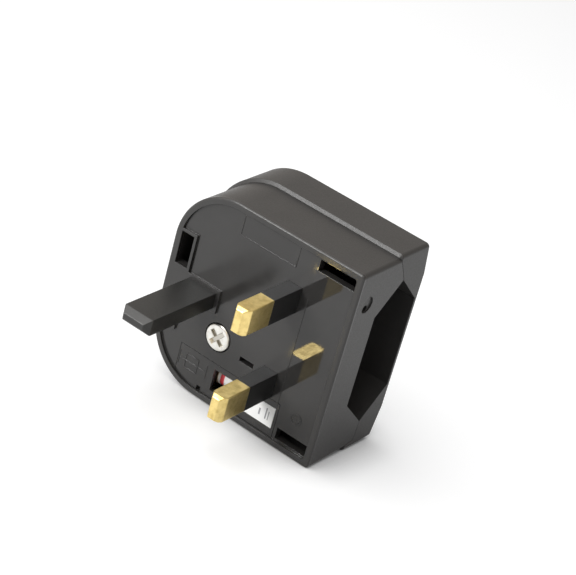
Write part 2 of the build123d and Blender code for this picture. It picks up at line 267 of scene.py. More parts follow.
@dataclass(frozen=True)
class PlasticFinish(Finish):
    """Black moulded plastic with a fine grain and soft edges.

    Attributes:
        texture: Surface that the mould leaves.
        colour: Colour of the plastic.
        polish: Roughness of a polished face before and past the mould insert's edge, if it has one.
        polish_x: Limits of that edge along X.
        polish_y: Depth of the polished face.
        polish_fade: Distances from that depth between which the polish ends.
        polish_hides: Share of the grain that the polish takes away.
        smear: Least and greatest share of that roughness in the smears.
        smear_size: Size of a smear.
        rim_shine: How much smoother the rim is than the sides.
        rim_y: Depths between which the rim's shine ends.
        edge: Radius of the worn edge.
        cloud: Size of the clouds in the colour.
        shade: Share of the colour that the darkest clouds keep.
        uneven: How far the roughness strays either way.
        ior: Index of refraction.
    """

    texture: MouldTexture
    colour: Colour = (0.024, 0.023, 0.022)
    polish: Limits | None = None
    polish_x: Limits = (4.0 * MM, 4.2 * MM)
    polish_y: float = 0.6 * MM
    polish_fade: Limits = (0.12 * MM, 0.2 * MM)
    polish_hides: float = 0.93
    smear: Limits = (0.8, 1.3)
    smear_size: float = 3.0 * MM
    rim_shine: float = 0.08
    rim_y: Limits = (0.04 * MM, 0.1 * MM)
    edge: float = 0.12 * MM
    cloud: float = 6.0 * MM
    shade: float = 0.85
    uneven: float = 0.05
    ior: float = 1.5

    def material(self) -> bpy.types.Material:
        """Build the node material and return it."""
        roughness, grain_size, relief = self.texture.value
        graph = Graph(bpy.data.materials.new(self.name))
        cloud = graph.between(graph.noise(self.cloud, 4), CLOUDY, (0, 1))
        base = graph.cloudy(cloud, self.colour, self.shade)
        grain = graph.noise(grain_size, 3)
        rough = graph.between(grain, CLOUDY, (roughness - self.uneven, roughness + self.uneven))
        strength = 1.0
        if self.polish is not None:
            polished = graph.between(graph.off(Axis.Y, self.polish_y), self.polish_fade, (1, 0))
            rough = self.polished(graph, rough, polished)
            strength = graph.math("SUBTRACT", 1.0, graph.math("MULTIPLY", polished, self.polish_hides))
        rounded = graph.add("ShaderNodeBevel", {"Radius": self.edge}, samples=6).outputs["Normal"]
        normal = graph.bump(grain, relief, strength, rounded)
        return graph.coat(Base_Color=base, Roughness=rough, IOR=self.ior, Normal=normal)

    def polished(self, graph: Graph, rough: Socket, polished: Socket) -> Socket:
        """Smooth the pin face and its rim.

        Args:
            graph: Nodes of the material.
            rough: Roughness of the sides.
            polished: Value of 1 on the pin face and 0 elsewhere.

        Returns:
            The new roughness.
        """
        smooth = graph.between(graph.along(Axis.X), self.polish_x, self.polish)
        smear = graph.between(graph.noise(self.smear_size, 3), CLOUDY, self.smear)
        share = graph.math("SUBTRACT", rough, graph.math("MULTIPLY", smooth, smear))
        rough = graph.math("SUBTRACT", rough, graph.math("MULTIPLY", polished, share))
        rim = graph.between(graph.along(Axis.Y), self.rim_y, (self.rim_shine, 0))
        return graph.math("SUBTRACT", rough, rim)


@dataclass(frozen=True)
class MetalFinish(Finish):
    """Bare or plated metal with drawn streaks and a cloudy tarnish.

    Attributes:
        colour: Colour of the bright metal.
        tarnish: Colour of the duller clouds.
        roughness: Lowest and highest roughness.
        cloud: Size of the clouds.
        cloud_range: Part of the noise's range in which the tarnish sets in.
        mottle: Part of the range of clouds and streaks that the roughness follows.
        streak: How much longer a streak is along each axis.
        streak_width: Width of a streak.
        relief: Height of the streaks.
        strength: How much of that relief shows.
        recess: Place of a recess whose colour gets painted shade, and the radius around it, or nothing.
        recess_fade: Width of the painted shade's soft edge.
        recess_depth: Depths below the recess's rim between which the painted shade sets in.
        recess_shade: Colour of the painted shade in the recess.
    """

    colour: Colour
    tarnish: Colour
    roughness: Limits = (0.285, 0.36)
    cloud: float = 1.4 * MM
    cloud_range: Limits = (0.42, 0.72)
    mottle: Limits = (0.2, 0.8)
    streak: Triple = (1, 12, 1)
    streak_width: float = 0.3 * MM
    relief: float = 0.0015 * MM
    strength: float = 0.5
    recess: Quad | None = None
    recess_fade: float = 0.1 * MM
    recess_depth: Limits = (0.05 * MM, 0.3 * MM)
    recess_shade: Colour = (0.52, 0.50, 0.45)

    def material(self) -> bpy.types.Material:
        """Build the node material and return it."""
        graph = Graph(bpy.data.materials.new(self.name))
        cloud = graph.between(graph.noise(self.cloud, 4), self.cloud_range, (0, 1))
        lines = graph.noise(self.streak_width, 1, self.streak)
        base = graph.blend(cloud, self.colour, self.tarnish)
        if self.recess is not None:
            # painted shade: the colour darkens inside the cross recess
            base = graph.blend(self.recess_shade_mask(graph), base, self.recess_shade)
        mottle = graph.math("MULTIPLY", graph.math("ADD", cloud, lines), 0.5)
        rough = graph.between(mottle, self.mottle, self.roughness)
        normal = graph.bump(lines, self.relief, self.strength)
        return graph.coat(Base_Color=base, Roughness=rough, Metallic=1.0, Normal=normal)

    def recess_shade_mask(self, graph: Graph) -> Socket:
        """Mark the recess.

        Args:
            graph: Nodes of the material.

        Returns:
            A value of 1 inside the recess, where the colour gets painted shade, and 0 elsewhere.
        """
        x, y, z, radius = self.recess
        beside = graph.math("POWER", graph.off(Axis.X, x), 2.0)
        above = graph.math("POWER", graph.off(Axis.Z, z), 2.0)
        across = graph.math("SQRT", graph.math("ADD", beside, above))
        within = graph.between(across, (radius, radius + self.recess_fade), (1, 0))
        depths = (y + self.recess_depth[0], y + self.recess_depth[1])
        return graph.math("MULTIPLY", within, graph.between(graph.along(Axis.Y), depths, (0, 1)))


@dataclass(frozen=True)
class PrintedFinish(Finish):
    """Pale matt stock with plain printed bars.

    Attributes:
        colour: Colour of the stock.
        ink: Colour of the print.
        bars: Middle and half size of each printed bar, along X and Z.
        bar_fade: Width of a bar's soft edge.
        grain: Size of the stock's grain.
        grain_range: Part of the noise's range that the grain follows.
        stretch: How much longer a grain is along each axis.
        shade: Share of the colour that the darkest grains keep.
        relief: Height of the grain.
        strength: How much of that relief shows.
        roughness: Roughness of the stock.
    """

    colour: Colour
    ink: Colour
    bars: tuple[Quad, ...] = ()
    bar_fade: float = 0.08 * MM
    grain: float = 0.8 * MM
    grain_range: Limits = CLOUDY
    stretch: Triple = EVEN
    shade: float = 0.93
    relief: float = 0.01 * MM
    strength: float = 0.3
    roughness: float = 0.5

    def material(self) -> bpy.types.Material:
        """Build the node material and return it."""
        graph = Graph(bpy.data.materials.new(self.name))
        grain = graph.between(graph.noise(self.grain, 4, self.stretch), self.grain_range, (0, 1))
        base = graph.cloudy(grain, self.colour, self.shade)
        for x, z, half_x, half_z in self.bars:
            beside = graph.math("SUBTRACT", graph.off(Axis.X, x), half_x)
            above = graph.math("SUBTRACT", graph.off(Axis.Z, z), half_z)
            printed = graph.between(graph.math("MAXIMUM", beside, above), (0, self.bar_fade), (1, 0))
            base = graph.blend(printed, base, self.ink)
        normal = graph.bump(grain, self.relief, self.strength)
        return graph.coat(Base_Color=base, Roughness=self.roughness, Normal=normal)


HOUSING = PlasticFinish("housing_black", "housing_plastic", MouldTexture.SPARK, polish=(0.18, 0.05))
PANEL = replace(HOUSING, name="fuse_cover_black", edge=0.02 * MM)
COVER = PlasticFinish("cover_black", "housing_plastic", MouldTexture.ETCHED)
EARTH = PlasticFinish("earth_pin_black", "moulded_pin", MouldTexture.SPARK, (0.016, 0.016, 0.015))
SLEEVE = PlasticFinish("sleeve_black", "sleeve_plastic", MouldTexture.POLISHED, (0.01, 0.01, 0.01))
SOCKET = PlasticFinish("socket_black", "socket_plastic", MouldTexture.MATT)
PIN_BRASS = MetalFinish("pin_brass", "pin_brass", (0.82, 0.64, 0.26), (0.60, 0.45, 0.16))
STRIP_BRASS = MetalFinish("strip_brass", "contact_brass", (0.74, 0.57, 0.28), (0.58, 0.42, 0.19))
CAP_METAL = MetalFinish("fuse_cap_metal", "fuse_metal", (0.5, 0.4, 0.28), (0.3, 0.22, 0.14))
ZINC = MetalFinish("screw_zinc", "screw_steel", (0.77, 0.76, 0.72), (0.62, 0.60, 0.55), streak=EVEN)
CERAMIC = PrintedFinish("fuse_ceramic", "fuse_ceramic", (0.92, 0.91, 0.89), (0.72, 0.07, 0.09))
PAPER = PrintedFinish(
    "label_white",
    "label_white",
    (0.82, 0.82, 0.81),
    (0.25, 0.25, 0.26),
    bar_fade=0.06 * MM,
    grain=0.25 * MM,
    grain_range=(0, 1),
    stretch=(1, 1, 3),
    shade=0.94,
    relief=0.005 * MM,
    strength=0.2,
)


class Blank:
    """Mesh of a piece while it is being shaped."""

    def __init__(self) -> None:
        """Start with no shape."""
        self.mesh = bmesh.new()

    def bar(self, x: Limits, y: Limits, z: Limits) -> list[Vert]:
        """Add a box.

        Args:
            x: Limits along X.
            y: Limits along Y.
            z: Limits along Z.

        Returns:
            The new corners.
        """
        low, high = map(Vector, zip(x, y, z))
        place = Matrix.Translation((low + high) / 2) @ Matrix.Diagonal((*(high - low), 1))
        return bmesh.ops.create_cube(self.mesh, size=1.0, matrix=place)["verts"]

    def column(self, centre: Vector, stations: list[Triple]) -> None:
        """Add a rectangular bar along Y that changes its section.

        Args:
            centre: Place of the bar in X and Z.
            stations: Depth, width and height of each section, from the rear to the front.
        """
        (rear, width, height), (front, _, _) = stations[:2]
        self.bar(span(centre.x, width), (front, rear), span(centre.z, height))
        face = min(self.mesh.faces, key=lambda side: side.calc_center_median().y)
        for old, new in zip(stations[1:], stations[2:]):
            corners, (face,) = self.extrude([face])
            about = Matrix.Translation(-Vector((centre.x, 0, centre.z)))
            growth = Vector((new[1] / old[1], 1, new[2] / old[2]))
            bmesh.ops.scale(self.mesh, vec=growth, verts=corners, space=about)
            bmesh.ops.translate(self.mesh, vec=Axis.Y.value * (new[0] - old[0]), verts=corners)
        self.close()

    def extrude(self, faces: list[Face]) -> tuple[list[Vert], list[Face]]:
        """Extrude faces and take the old ones away.

        Args:
            faces: Faces to extrude.

        Returns:
            The new corners, still in their old place, and the new faces.
        """
        made = bmesh.ops.extrude_face_region(self.mesh, geom=faces)["geom"]
        bmesh.ops.delete(self.mesh, geom=faces, context="FACES_ONLY")
        corners = [part for part in made if isinstance(part, Vert)]
        return corners, [part for part in made if isinstance(part, Face)]

    def wire(self, centre: Vector, profile: list[Limits]) -> list[Vert | Edge]:
        """Draw a profile beside an axis along Y.

        Args:
            centre: Place of the axis in X and Z.
            profile: Radius and depth of each point.

        Returns:
            The points and the lines between them.
        """
        points = [self.mesh.verts.new((centre.x + radius, depth, centre.z)) for radius, depth in profile]
        return points + [self.mesh.edges.new(pair) for pair in zip(points, points[1:])]

    def lathe(self, centre: Vector, profile: list[Limits], steps: int = 48) -> None:
        """Spin a profile about an axis along Y.

        Args:
            centre: Place of the axis in X and Z.
            profile: Radius and depth of each point.
            steps: Number of steps in the full turn.
        """
        bmesh.ops.spin(
            self.mesh,
            geom=self.wire(centre, profile),
            cent=Vector((centre.x, 0, centre.z)),
            axis=Axis.Y.value,
            angle=math.tau,
            steps=steps,
            use_merge=True,
        )
        self.close()

    def bevel(self, edges: list[Edge], radius: float, segments: int = 3) -> None:
        """Round edges to a radius, in a number of segments."""
        bmesh.ops.bevel(
            self.mesh, geom=edges, offset=radius, segments=segments, profile=0.5, affect="EDGES"
        )

    def soften(self, radius: float, front: float, segments: int = 3) -> None:
        """Round the sharp edges that reach in front of a depth.

        Args:
            radius: Width of the rounding.
            front: That depth.
            segments: Steps of the rounding.
        """
        sharp = [edge for edge in self.mesh.edges if edge.calc_face_angle(0.0) > SHARP]
        ahead = [edge for edge in sharp if min(corner.co.y for corner in edge.verts) < front]
        self.bevel(ahead, radius, segments)

    def close(self) -> None:
        """Merge doubled corners and turn all faces outwards."""
        bmesh.ops.remove_doubles(self.mesh, verts=self.mesh.verts, dist=MERGE)
        bmesh.ops.recalc_face_normals(self.mesh, faces=self.mesh.faces)


@dataclass
class Workshop:
    """Place where pieces are finished and set on the adapter.

    Attributes:
        nodes: CAD objects by node name.
        made: Materials made so far, by name.
    """

    nodes: dict[str, bpy.types.Object]
    made: dict[str, bpy.types.Material] = field(default_factory=dict)

    def material(self, finish: Finish) -> bpy.types.Material:
        """Give the material of a finish, made once."""
        if finish.name not in self.made:
            self.made[finish.name] = finish.material()
        return self.made[finish.name]

    def dress(self, finish: Finish, *names: str) -> None:
        """Give CAD nodes a finish.

        Args:
            finish: Finish of the nodes.
            names: Names of the nodes.
        """
        for name in names:
            node = self.nodes[name]
            node.data.materials.clear()
            node.data.materials.append(self.material(finish))
            LOG.info("%s dressed in %s", name, finish.name)

    def place(self, name: str, blank: Blank, finish: Finish, *replaced: str) -> None:
        """Make an object of a finished shape and let it ride on the adapter.

        Args:
            name: Name of the piece.
            blank: Finished shape, which is used up.
            finish: Finish of the piece.
            replaced: CAD nodes that the piece stands for.
        """
        mesh = bpy.data.meshes.new(name)
        blank.mesh.to_mesh(mesh)
        blank.mesh.free()
        mesh.polygons.foreach_set("use_smooth", [True] * len(mesh.polygons))
        mesh.set_sharp_from_angle(angle=CREASE)
        mesh.materials.append(self.material(finish))
        piece = bpy.data.objects.new(name, mesh)
        bpy.context.scene.collection.objects.link(piece)
        piece.modifiers.new("flat_faces", "WEIGHTED_NORMAL").keep_sharp = True
        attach(piece, BODY)
        if replaced:
            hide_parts(*replaced)
        LOG.info("%s: %d faces in %s", name, len(mesh.polygons), finish.name)


@dataclass(frozen=True)
class RaisedLines:
    """Raised lines that the mould leaves on a flat face.

    Attributes:
        face: Depth of the face.
        height: Height of a line.
        width: Width of a line.
    """

    face: float = 0.6 * MM
    height: float = 0.1 * MM
    width: float = 0.25 * MM

    def depth(self) -> Limits:
        """Give the depths of a line, from its top to just inside the face."""
        return (self.face - self.height, self.face + self.height / 2)

    def level(self, blank: Blank, x: Limits, z: float) -> None:
        """Add a line along X to a blank."""
        blank.bar(x, self.depth(), span(z, self.width))

    def upright(self, blank: Blank, x: float, z: Limits) -> None:
        """Add a line along Z to a blank."""
        blank.bar(span(x, self.width), self.depth(), z)

    def soften(self, blank: Blank) -> None:
        """Round the edges of the lines on a blank."""
        blank.soften(self.height / 2, self.face, segments=2)


@dataclass
class Housing:
    """Front and rear shells with the plain moulded marks of the pin face.

    Attributes:
        lines: Raised lines of the pin face.
        frame_x: Limits of the empty frame along X.
        frame_z: Limits of the empty frame along Z.
        dial: Place of the mould dial in X and Z.
        dial_radius: Radius of the mould dial.
        dial_ticks: Number of ticks around the dial.
        tick: Ends of a tick, as shares of the dial's inner radius.
        boss: Radius of the dial's centre, as such a share.
        insert_x: Place of the mould insert's edge along X.
        insert_z: Limits of the mould insert's edge along Z.
        insert_line: Width of the mould insert's edge.
    """

    lines: RaisedLines = RaisedLines()
    frame_x: Limits = (-16.4 * MM, -1.0 * MM)
    frame_z: Limits = (18.1 * MM, 22.9 * MM)
    dial: Vector = field(default_factory=lambda: Vector((9.6, 0, -15.6)) * MM)
    dial_radius: float = 1.5 * MM
    dial_ticks: int = 12
    tick: Limits = (0.62, 0.9)
    boss: float = 0.25
    insert_x: float = 4.1 * MM
    insert_z: Limits = (-15.2 * MM, 13.2 * MM)
    insert_line: float = 0.5 * MM / 3

    def build(self, shop: Workshop) -> None:
        """Dress the shells and add the moulded marks."""
        shop.dress(HOUSING, "base_housing")
        shop.dress(COVER, "rear_cover")
        shop.place("face_frame", self.frame(), HOUSING)
        shop.place("mould_dial", self.mould_dial(), HOUSING)

    def frame(self) -> Blank:
        """Shape the empty frame and the edge of the mould insert.

        Returns:
            The raised lines.
        """
        blank = Blank()
        for x in self.frame_x:
            self.lines.upright(blank, x, self.frame_z)
        self.lines.level(blank, self.frame_x, self.frame_z[0])
        replace(self.lines, width=self.insert_line).upright(blank, self.insert_x, self.insert_z)
        self.lines.soften(blank)
        return blank

    def mould_dial(self) -> Blank:
        """Shape the mould dial: a raised ring with ticks inside and a centre boss.

        Returns:
            The ring, ticks and boss.
        """
        blank = Blank()
        top, foot = self.lines.depth()
        outer, inner = self.dial_radius, self.dial_radius - self.lines.width
        ends = (self.tick[0] * inner, self.tick[1] * inner)
        ring = [(outer, foot), (outer, top), (inner, top), (inner, foot), (outer, foot)]
        blank.lathe(self.dial, ring)
        for tick in range(self.dial_ticks):
            corners = blank.bar(ends, (top, foot), span(0, self.lines.width / 2))
            turn = Matrix.Rotation(math.tau * tick / self.dial_ticks, 4, "Y")
            bmesh.ops.transform(blank.mesh, matrix=Matrix.Translation(self.dial) @ turn, verts=corners)
        boss = self.boss * inner
        blank.lathe(self.dial, [(0, top), (boss, top), (boss, foot)], steps=24)
        return blank


@dataclass
class PlugPins:
    """Live, neutral and earth pins, with the sleeves of the first two.

    Attributes:
        inside: Depth of the pin face's inner side.
        head_depth: Depth of the heads behind it.
        head_rim: How far a power pin's head reaches past its sides.
        section: Width and height of a power pin.
        sleeve_length: Length of a sleeve in front of the rim.
        sleeve_wall: Wall of a sleeve.
        tip: Length of a power pin's bevels in the width.
        tip_side: Size of those bevels.
        nose: Length of its bevels in the height.
        nose_flat: Size of those bevels.
        earth: Width and height of the earth pin.
        earth_rim: How far the earth pin's flange reaches past its sides.
        earth_tip: Length of the earth pin's bevelled tip.
        earth_side: Bevel of that tip in the width.
        earth_flat: Bevel of that tip in the height.
        edge: Rounding of the plastic's long edges.
        brass_edge: Rounding of the brass edges.
    """

    inside: float = 2.6 * MM
    head_depth: float = 2.0 * MM
    head_rim: float = 0.5 * MM
    section: Limits = (4.0 * MM, 6.35 * MM)
    sleeve_length: float = 9.3 * MM
    sleeve_wall: float = 0.4 * MM
    tip: float = 1.8 * MM
    tip_side: float = 1.0 * MM
    nose: float = 1.0 * MM
    nose_flat: float = 0.5 * MM
    earth: Limits = (8.0 * MM, 4.0 * MM)
    earth_rim: float = 1.0 * MM
    earth_tip: float = 1.6 * MM
    earth_side: float = 1.15 * MM
    earth_flat: float = 1.25 * MM
    edge: float = 0.18 * MM
    brass_edge: float = 0.24 * MM

    def build(self, shop: Workshop) -> None:
        """Shape the pins and sleeves in place of the CAD ones."""
        for name in ("live_pin", "neutral_pin"):
            shop.place(f"{name}_brass", self.power_pin(name), PIN_BRASS, name)
            shop.place(f"{name}_cover", self.sleeve(f"{name}_sleeve"), SLEEVE, f"{name}_sleeve")
        shop.place("earth_pin_moulded", self.earth_pin(), EARTH, "earth_pin")

    def head(self, width: float, height: float, rim: float) -> list[Triple]:
        """Give the stations of a pin's head, whose rim reaches past the pin's width and height."""
        size = (width + 2 * rim, height + 2 * rim)
        return [(self.inside + self.head_depth, *size), (self.inside, *size)]

    def power_pin(self, node: str) -> Blank:
        """Shape a brass pin with its head, its shank under the sleeve and its bevelled tip.

        Args:
            node: CAD node of the pin.

        Returns:
            The pin.
        """
        low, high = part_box(node)
        full = self.section
        width, height = full
        shank = (width - 2 * self.sleeve_wall, height - 2 * self.sleeve_wall)
        cut = width - 2 * self.tip_side * (1 - self.nose / self.tip)
        end = (width - 2 * self.tip_side, height - 2 * self.nose_flat)
        stations = self.head(*full, self.head_rim)
        stations += [(self.inside, *shank), (-self.sleeve_length, *shank), (-self.sleeve_length, *full)]
        stations += [(low.y + self.tip, *full), (low.y + self.nose, cut, height), (low.y, *end)]
        blank = Blank()
        blank.column((low + high) / 2, stations)
        blank.soften(self.brass_edge, -self.sleeve_length - MERGE)
        return blank

    def sleeve(self, node: str) -> Blank:
        """Shape an insulating sleeve.

        Args:
            node: CAD node of the sleeve.

        Returns:
            The rectangular tube.
        """
        blank = Blank()
        blank.bar(*zip(*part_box(node)))
        ends = [face for face in blank.mesh.faces if abs(face.normal.y) > 0.5]
        edges = blank.mesh.edges
        long_edges = [edge for edge in edges if not any(face in ends for face in edge.link_faces)]
        bmesh.ops.inset_individual(blank.mesh, faces=ends, thickness=self.sleeve_wall, use_even_offset=True)
        rims = [edge for face in ends for edge in face.edges]
        bmesh.ops.delete(blank.mesh, geom=ends, context="FACES_ONLY")
        bmesh.ops.bridge_loops(blank.mesh, edges=rims)
        blank.bevel(long_edges, self.edge)
        blank.close()
        return blank

    def earth_pin(self) -> Blank:
        """Shape the moulded earth pin with its flange and bevelled tip.

        Returns:
            The pin.
        """
        low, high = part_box("earth_pin")
        full = self.earth
        end = (full[0] - 2 * self.earth_side, full[1] - 2 * self.earth_flat)
        stations = self.head(*full, self.earth_rim)
        stations += [(self.inside, *full), (low.y + self.earth_tip, *full), (low.y, *end)]
        blank = Blank()
        blank.column((low + high) / 2, stations)
        blank.soften(self.edge, self.inside - MERGE)
        return blank


@dataclass
class FuseBay:
    """Fuse in its clips, under a cover with a label and a moulded fuse symbol.

    Attributes:
        lines: Raised lines of the symbol.
        symbol_x: Ends of the symbol's through line.
        box_x: Ends of the symbol's box.
        box_height: Height of the symbol's box.
        symbol_z: Middle of the symbol.
        ring: Middle of the fuse's printed ring, from the fuse's end, and half its width.
        bars: Middle and half size of each bar printed on the label.
    """

    lines: RaisedLines = RaisedLines(height=0.12 * MM, width=0.3 * MM)
    symbol_x: Limits = (-24.0 * MM, -16.0 * MM)
    box_x: Limits = (-22.1 * MM, -18.6 * MM)
    box_height: float = 3.6 * MM
    symbol_z: float = -18.1 * MM
    ring: Limits = (6.9 * MM, 0.5 * MM)
    bars: tuple[Quad, ...] = (
        (1.9 * MM, -18.6 * MM, 0.14 * MM, 1.4 * MM),
        (2.6 * MM, -18.9 * MM, 0.09 * MM, 1.1 * MM),
        (0.1 * MM, -19.0 * MM, 0.2 * MM, 0.8 * MM),
    )

    def build(self, shop: Workshop) -> None:
        """Dress the fuse and its cover, and add the symbol."""
        end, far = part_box("fuse_body")
        middle, half = self.ring
        ring = (end.x + middle, (end.z + far.z) / 2, half, far.z - end.z)
        shop.dress(PANEL, "fuse_cover")
        shop.dress(replace(PAPER, bars=self.bars), "rating_label")
        shop.dress(replace(CERAMIC, bars=(ring,)), "fuse_body")
        shop.dress(CAP_METAL, "fuse_cap_load", "fuse_cap_line")
        shop.dress(STRIP_BRASS, "fuse_clip_load", "fuse_clip_line")
        shop.place("fuse_symbol", self.symbol(), HOUSING)

    def symbol(self) -> Blank:
        """Shape the raised fuse symbol: a box with a line through it and a stop at each end.

        Returns:
            The raised lines.
        """
        blank = Blank()
        ends = span(self.symbol_z, self.box_height)
        self.lines.level(blank, self.symbol_x, self.symbol_z)
        for x in (*self.symbol_x, *self.box_x):
            self.lines.upright(blank, x, ends)
        for z in ends:
            self.lines.level(blank, self.box_x, z)
        self.lines.soften(blank)
        return blank


@dataclass
class CoverScrew:
    """Steel pan-head screw with a cross recess.

    Attributes:
        head_radius: Radius of the head.
        head_depth: Depth of the head.
        dome: Height of the head's rounded top.
        shank_radius: Radius of the thread.
        core: Share of that radius that the core takes up.
        pitch: Rise of the thread in one turn.
        cross_width: Width of the cross recess.
        cross_length: Length of the cross recess.
        cross_depth: Depth of the cross recess.
        cross_taper: Share of its size that the recess keeps at its floor.
        turn: Turn of the cross, in degrees.
        core_steps: Steps of a full turn of the core and the thread.
        dome_steps: Steps of the head's rounded top.
    """

    head_radius: float = 3.3 * MM
    head_depth: float = 2.0 * MM
    dome: float = 0.55 * MM
    shank_radius: float = 1.75 * MM
    core: float = 0.74
    pitch: float = 1.2 * MM
    cross_width: float = 1.15 * MM
    cross_length: float = 4.6 * MM
    cross_depth: float = 0.6 * MM
    cross_taper: float = 0.75
    turn: float = 40.0
    core_steps: int = 24
    dome_steps: int = 6

    def build(self, shop: Workshop) -> None:
        """Shape the screw in place of the CAD one."""
        low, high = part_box("cover_screw")
        axis = (low + high) / 2
        blank = Blank()
        blank.lathe(axis, self.head_profile(low.y))
        self.cut_cross(blank, axis, low.y)
        self.wind_thread(blank, axis, low.y + self.head_depth, high.y)
        # the cross recess takes painted shade in the screw's colour
        recess = (axis.x, low.y, axis.z, self.cross_length / 2)
        shop.place("cover_screw_steel", blank, replace(ZINC, recess=recess), "cover_screw")

    def head_profile(self, top: float) -> list[Limits]:
        """Give the profile of the pan head and the core's neck.

        Args:
            top: Depth of the head's top.

        Returns:
            Radius and depth of each point.
        """
        arc = [math.radians(step * 90 / self.dome_steps) for step in range(self.dome_steps + 1)]
        dome, flat = self.dome, self.head_radius - self.dome
        rounded = [(flat + dome * math.sin(turn), top + dome * (1 - math.cos(turn))) for turn in arc]
        seat = top + self.head_depth
        return [(0, top), *rounded, (self.head_radius, seat), (self.core * self.shank_radius, seat)]

    def cut_cross(self, blank: Blank, axis: Vector, top: float) -> None:
        """Sink the cross recess into the head.

        Args:
            blank: Screw with its head.
            axis: Middle of the screw.
            top: Depth of the head's top.
        """
        centre = Vector((axis.x, top, axis.z))
        turn = Matrix.Rotation(math.radians(self.turn), 3, "Y")
        arms = (turn @ Axis.X.value, turn @ Axis.Z.value)
        for arm in arms:
            for reach in (self.cross_width / 2, self.cross_length / 2):
                for side in (-1, 1):
                    self.slice_crown(blank, centre + arm * side * reach, arm)
        middles = ((face, face.calc_center_median() - centre) for face in self.crown(blank, top))
        floor, _ = blank.extrude([face for face, middle in middles if self.in_cross(middle, arms)])
        shrink = Vector((self.cross_taper, 1, self.cross_taper))
        bmesh.ops.scale(blank.mesh, vec=shrink, verts=floor, space=Matrix.Translation(-centre))
        bmesh.ops.translate(blank.mesh, vec=Axis.Y.value * self.cross_depth, verts=floor)
        bmesh.ops.recalc_face_normals(blank.mesh, faces=blank.mesh.faces)

    def crown(self, blank: Blank, top: float) -> list[Face]:
        """Give the faces of the head's flat top."""
        faces = blank.mesh.faces
        return [face for face in faces if all(abs(corner.co.y - top) < MERGE for corner in face.verts)]

    def slice_crown(self, blank: Blank, point: Vector, normal: Vector) -> None:
        """Cut the faces of the head's flat top along a plane.

        Args:
            blank: Screw with its head.
            point: Point of the plane, on the top.
            normal: Normal of the plane.
        """
        faces = self.crown(blank, point.y)
        parts = dict.fromkeys(part for face in faces for part in (*face.verts, *face.edges, face))
        bmesh.ops.bisect_plane(blank.mesh, geom=list(parts), plane_co=point, plane_no=normal, dist=MERGE)

    def in_cross(self, place: Vector, arms: tuple[Vector, Vector]) -> bool:
        """Tell whether a place on the head's top, seen from its middle, lies in one of the arms."""
        near, far = sorted(abs(place.dot(arm)) for arm in arms)
        return near < self.cross_width / 2 and far < self.cross_length / 2

    def wind_thread(self, blank: Blank, axis: Vector, start: float, stop: float) -> None:
        """Add the core and a helical thread.

        Args:
            blank: Screw with its head.
            axis: Middle of the screw.
            start: Depth at which the thread starts.
            stop: Depth of the screw's end.
        """
        core = self.core * self.shank_radius
        end = [(core, start), (core, stop - core / 2), (core / 2, stop), (0, stop)]
        blank.lathe(axis, end, steps=self.core_steps)
        turns = int((stop - start - 2 * self.pitch) / self.pitch)
        rise = self.pitch / 3
        first = start + self.pitch
        tooth = [(core, first - rise), (self.shank_radius, first), (core, first + rise)]
        steps = self.core_steps * turns
        bmesh.ops.spin(
            blank.mesh,
            geom=blank.wire(axis, tooth),
            cent=Vector((axis.x, 0, axis.z)),
            axis=Axis.Y.value,
            dvec=Axis.Y.value * self.pitch * turns / steps,
            angle=math.tau * turns,
            steps=steps,
        )
        bmesh.ops.recalc_face_normals(blank.mesh, faces=blank.mesh.faces)


@dataclass
class Contacts:
    """Socket plate of the plug bay with the brass behind it.

    Attributes:
        plate: CAD node of the insulating plate.
        sockets: CAD nodes of the spring sockets.
        straps: CAD nodes of the straps.
        insert: CAD node of the screw's insert.
    """

    plate: str = "socket_face"
    sockets: tuple[str, ...] = ("live_socket", "neutral_socket")
    straps: tuple[str, ...] = ("live_strap", "load_strap", "neutral_strap")
    insert: str = "screw_insert"

    def build(self, shop: Workshop) -> None:
        """Dress the plate and the brass pieces."""
        shop.dress(SOCKET, self.plate)
        shop.dress(STRIP_BRASS, *self.sockets, *self.straps, self.insert)


@dataclass(frozen=True)
class Softbox:
    """Square studio light that faces the adapter.

    Attributes:
        name: Name of the light.
        direction: Direction of the light, seen from the pins.
        distance: Distance of the light.
        side: Side of the light.
        power: Power of the light, in watts.
    """

    name: str
    direction: Triple
    distance: float
    side: float
    power: float

    def hang(self) -> bpy.types.Object:
        """Hang the light in its place.

        Returns:
            The object that carries the light.
        """
        lamp = bpy.data.lights.new(self.name, "AREA")
        lamp.energy = self.power
        lamp.size = self.side
        holder = bpy.data.objects.new(self.name, lamp)
        direction = Vector(self.direction).normalized()
        facing = direction.to_track_quat("Z", "Y").to_matrix().to_4x4()
        holder.matrix_world = Matrix.Translation(direction * self.distance) @ facing
        bpy.context.scene.collection.objects.link(holder)
        return holder


